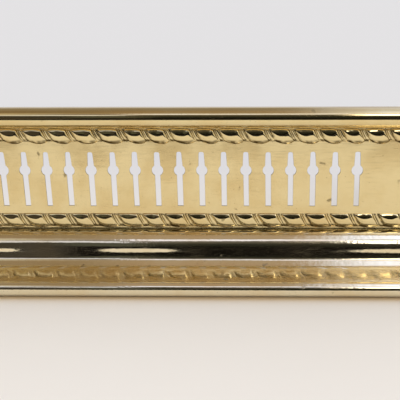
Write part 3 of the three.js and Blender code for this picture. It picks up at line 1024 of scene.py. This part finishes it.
def make_screws():
    """Screws driven from the hearth side, each with its driver slot at its own angle."""
    chance = random.Random(8)
    for node in nodes_with("_screw_"):
        middle, size = measure(node)
        way = inward(node)
        length = abs(size.dot(way))
        shape = slotted(screw_shape(length), length)
        place(shape, node, middle - way * (length / 2), chance.uniform(0, math.pi))
        keep("turned_" + node, finish_mesh(node, shape, sharp=30), "steel", node)


def circle(radius, steps, start=0):
    """The corners of a regular outline. Its first corner lies at a turn of start degrees."""
    turns = [360 * i / steps + start for i in range(steps)]
    return [(radius * cos(turn), radius * sin(turn)) for turn in turns]


def make_nuts():
    for node in nodes_with("base_nut_"):
        middle, size = measure(node)
        thick = abs(size.dot(inward(node)))
        outlines = [circle(NUT_R, 6, 30), circle(NUT_BORE_R, 36)]
        shape = flat_plate(outlines, thick, NUT_ROUND)
        place(shape, node, middle)
        keep("hex_" + node, finish_mesh(node, shape, sharp=30), "steel", node)


def make_washers():
    for node in nodes_with("packing_washer_"):
        middle, size = measure(node)
        thick = abs(size.dot(inward(node)))
        outlines = [circle(WASHER_R, 48), circle(WASHER_BORE_R, 48)]
        shape = flat_plate(outlines, thick, WASHER_ROUND)
        place(shape, node, middle)
        keep("round_" + node, finish_mesh(node, shape, sharp=30), "steel", node)


def make_rivets():
    for node in nodes_with("corner_rivet_"):
        low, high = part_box(node)
        middle, _ = measure(node)
        length = high[2] - low[2]
        under_head = length - RIVET_HEAD
        profile = [(0, 0), (RIVET_R - RIVET_EDGE, 0), (RIVET_R, RIVET_EDGE), (RIVET_R, under_head)]
        profile += [(RIVET_HEAD_R, under_head)]
        for i in range(1, HEAD_STEPS + 1):
            turn = 90 * i / (HEAD_STEPS + 1)
            profile.append((RIVET_HEAD_R * cos(turn), under_head + RIVET_HEAD * sin(turn)))
        profile.append((0, length))
        shape = turned(profile)
        shape.transform(Matrix.Translation((middle.x, middle.y, low[2])))
        keep("forged_" + node, finish_mesh(node, shape, sharp=40), "black_iron", node)


# ---- Frame pieces that keep their CAD shape --------------------------------------------------------

KEPT = ("base_angle", "base_corner", "rail_core", "rail_corner", "stay", "gallery_corner")
WORN_EDGE = 0.3 * MM
SHARPEST = 50


def dress_frame():
    """Gives every remaining CAD node its material and a small worn edge."""
    slots = {item["node"]: item["material_slot"] for item in frame["record"]["subparts"]}
    for name, node in frame["nodes"].items():
        if not name.startswith(KEPT):
            continue
        node.data.materials.clear()
        node.data.materials.append(MATERIALS[slots[name]])
        weld = node.modifiers.new("weld", "WELD")
        weld.merge_threshold = 0.01 * MM
        bevel = node.modifiers.new("edge", "BEVEL")
        bevel.width = WORN_EDGE
        bevel.segments = 2
        bevel.limit_method = "ANGLE"
        bevel.angle_limit = math.radians(SHARPEST)


# ---- Stage: floor, light and camera ----------------------------------------------------------------

# How far the camera stands ahead of the gallery, to the right and up, in metres, and its turns in degrees.
CAMERA_AHEAD = 0.585
CAMERA_X = 0.3038
CAMERA_UP = 0.2494
CAMERA_PITCH = 17.0
CAMERA_YAW = 0.98
CAMERA_ROLL = 0.24
LENS = 63.3
SENSOR = 36

# The light on rough surfaces, and what the camera sees behind everything.
AMBIENT = (1.12, 1.12, 1.12, 1)
SKY = (0.735, 0.73, 0.735, 1)
# The floor: in front in two clouded tints, painted shade just behind the gallery, far off, and a painted
# warm shadow with reflected brass glow where brass touches it.
FLOOR_TINTS = ((0.83, 0.79, 0.75, 1), (0.80, 0.75, 0.705, 1))
# Painted shade: the floor just behind the gallery, darker and cooler.
SHADE_BEHIND_GALLERY = (0.62, 0.615, 0.65, 1)
BACKDROP = (0.69, 0.68, 0.69, 1)
# Painted contact shadow, warmed like light reflected from the brass.
CONTACT_SHADOW_TINT = (0.60, 0.46, 0.29, 1)
CONTACT_SHADOW_REACH = 0.03
FLOOR_HALF = 30
FLOOR_CLOUDS = 3.5
# Where the floor turns cool behind the gallery and with distance, where the painted shade behind the
# gallery turns into the backdrop, and how open to the sky the floor is where the painted contact shadow
# starts and ends.
BEHIND_FADE = (-0.15, 0.5)
AWAY_FADE = (1.5, 4.0)
SHADE_BEHIND_FADE = (0.45, 0.9)
CONTACT_SHADOW_FADE = (0.45, 1.0)
# Seen in the brass, the floor ends this far ahead of the gallery, softly, and is dark beyond.
FLOOR_AHEAD = 0.68
FLOOR_SOFT = 0.03
FLOOR_DARK = (0.02, 0.02, 0.02, 1)


def floor_colour(graph, across, behind, clouds):
    """Warm in front of the fender, cooler behind it with painted shade just behind the gallery, and like
    the backdrop far off.
    """
    away = graph.distance(across, behind)
    back = graph.math("MAXIMUM", graph.remap(behind, *BEHIND_FADE), graph.remap(away, *AWAY_FADE))
    # Painted shade just behind the gallery, fading into the backdrop.
    beyond = graph.mix(graph.remap(away, *SHADE_BEHIND_FADE), SHADE_BEHIND_GALLERY, BACKDROP)
    return graph.mix(back, graph.mix(clouds, *FLOOR_TINTS), beyond)


def floor_material():
    """A plain pale floor, with a painted warm shadow and reflected brass glow where brass meets it."""
    material, graph, shader, place_on = new_material("floor")
    split = graph.node("ShaderNodeSeparateXYZ")
    graph.put(split.inputs[0], place_on)
    across, behind, _ = split.outputs
    clouds = graph.noise(place_on, FLOOR_CLOUDS, 5, 0.6)
    colour = floor_colour(graph, across, behind, clouds)
    mirrored = graph.node("ShaderNodeLightPath").outputs["Is Glossy Ray"]
    open_sky = graph.node("ShaderNodeAmbientOcclusion")
    open_sky.inputs["Distance"].default_value = CONTACT_SHADOW_REACH
    contact_shadow = graph.remap(open_sky.outputs["AO"], *CONTACT_SHADOW_FADE, 1.0, 0.0)
    contact_shadow = graph.math("MULTIPLY", contact_shadow, graph.math("SUBTRACT", 1.0, mirrored))
    # Painted warm contact shadow where the brass meets the floor.
    colour = graph.mix(contact_shadow, colour, CONTACT_SHADOW_TINT)
    edge = -FACE_Y - FLOOR_AHEAD
    ahead = graph.remap(behind, edge - FLOOR_SOFT, edge, 1.0, 0.0)
    colour = graph.mix(graph.math("MULTIPLY", ahead, mirrored), colour, FLOOR_DARK)
    graph.put(shader.inputs["Base Color"], colour)
    shader.inputs["Roughness"].default_value = 0.6
    shader.inputs["Specular IOR Level"].default_value = 0.0
    return material


def make_floor():
    shape = bmesh.new()
    bmesh.ops.create_grid(shape, x_segments=2, y_segments=2, size=FLOOR_HALF)
    mesh = bpy.data.meshes.new("floor")
    shape.to_mesh(mesh)
    shape.free()
    mesh.materials.append(floor_material())
    floor = bpy.data.objects.new("floor", mesh)
    bpy.context.scene.collection.objects.link(floor)


# What the brass reflects, as soft-edged patches. Each has its range of height, in degrees from the front
# horizon (90 is overhead and 180 the horizon behind), and its softness, then its range of sideways lean and
# its softness, then its light. ROOM is the light behind the patches by height alone, from -180 to 180.
PATCHES = (
    ((-3, 33), 3, (-1.0, -0.20), 0.02, (0.055, 0.050, 0.045)),
    ((10, 33), 3, (-0.20, -0.09), 0.02, (0.080, 0.085, 0.075)),
    ((34, 44), 1.5, (-1.0, -0.12), 0.01, (0.80, 0.84, 1.10)),
    ((47, 58), 1.5, (-0.12, 0.2), 0.01, (1.05, 1.10, 1.50)),
    ((78, 88), 1.5, (-0.5, -0.22), 0.01, (2.2, 2.2, 2.4)),
    ((57, 152), 3, (0.16, 1.0), 0.05, (0.95, 1.02, 1.36)),
    ((60, 110), 5, (-1.0, -0.14), 0.06, (0.32, 0.245, 0.165)),
    ((57, 96), 4, (0.22, 1.0), 0.04, (1.3, 1.45, 2.1)),
    ((33, 50), 2, (0.20, 0.40), 0.01, (3.5, 3.5, 3.7)),
)
ROOM = (
    (-180, (0.74, 0.72, 0.72)),
    (-90, (0.74, 0.70, 0.66)),
    (-6, (0.60, 0.56, 0.50)),
    (-3, (0.004, 0.003, 0.002)),
    (5, (0.004, 0.003, 0.002)),
    (9, (0.012, 0.013, 0.009)),
    (22, (0.022, 0.023, 0.018)),
    (35, (0.09, 0.085, 0.075)),
    (44, (0.22, 0.21, 0.22)),
    (64, (0.44, 0.355, 0.27)),
    (96, (0.43, 0.32, 0.23)),
    (100, (0.36, 0.31, 0.27)),
    (148, (0.42, 0.37, 0.33)),
    (160, (0.70, 0.68, 0.69)),
    (180, (0.74, 0.73, 0.74)),
)
# The walls to the sides: their light, where they start in sideways lean, and where they end in height.
WALLS = (0.66, 0.63, 0.57)
WALLS_LEAN = (0.29, 0.50)
WALLS_TOP = (70.0, 50.0)


def make_world():
    """Even light for the floor, and a room with a window for the brass to reflect."""
    world = bpy.data.worlds.new("studio")
    bpy.context.scene.world = world
    world.use_nodes = True
    graph = Graph(world.node_tree)
    direction = graph.node("ShaderNodeSeparateXYZ")
    graph.put(direction.inputs[0], graph.node("ShaderNodeTexCoord").outputs["Generated"])
    x, y, z = direction.outputs
    level = graph.distance(x, y)
    ahead = graph.math("MULTIPLY", level, graph.math("SIGN", graph.math("MULTIPLY", y, -1.0)))
    height = graph.math("DEGREES", graph.math("ARCTAN2", z, ahead))
    stops = [((degrees + 180) / 360, colour) for degrees, colour in ROOM]
    room = graph.ramp(graph.remap(height, -180.0, 180.0, smooth=False), stops)
    sideways = graph.math("DIVIDE", graph.math("ABSOLUTE", x), graph.math("MAXIMUM", level, 0.001))
    beside = graph.math("MULTIPLY", graph.remap(sideways, *WALLS_LEAN), graph.remap(height, *WALLS_TOP))
    room = graph.mix(beside, room, (*WALLS, 1))
    for heights, height_soft, leans, lean_soft, light in PATCHES:
        up = graph.within(height, *heights, height_soft)
        across = graph.within(x, *leans, lean_soft)
        room = graph.mix(graph.math("MULTIPLY", up, across), room, (*light, 1))
    ray = graph.node("ShaderNodeLightPath").outputs
    seen = graph.mix(ray["Is Glossy Ray"], AMBIENT, room)
    seen = graph.mix(ray["Is Camera Ray"], seen, SKY)
    background = graph.node("ShaderNodeBackground")
    graph.put(background.inputs["Color"], seen)
    output = graph.node("ShaderNodeOutputWorld")
    graph.put(output.inputs["Surface"], background.outputs[0])


def make_camera():
    """The camera, in front of the right half of the fender and looking a little down."""
    camera = bpy.data.objects.new("camera", bpy.data.cameras.new("camera"))
    bpy.context.scene.collection.objects.link(camera)
    camera.data.lens = LENS
    camera.data.sensor_width = SENSOR
    turn = Matrix.Rotation(math.radians(CAMERA_YAW), 4, "Z")
    turn @= Matrix.Rotation(math.radians(90 - CAMERA_PITCH), 4, "X")
    turn @= Matrix.Rotation(math.radians(-CAMERA_ROLL), 4, "Z")
    place_at = Matrix.Translation((CAMERA_X, -FACE_Y - CAMERA_AHEAD, CAMERA_UP))
    camera.matrix_world = place_at @ turn
    bpy.context.scene.camera = camera


make_camera()
make_world()
make_floor()
make_rails()
make_mouldings()
make_galleries()
make_end_plates()
make_screws()
make_nuts()
make_washers()
make_rivets()
dress_frame()
bpy.context.scene.view_settings.view_transform = "Standard"
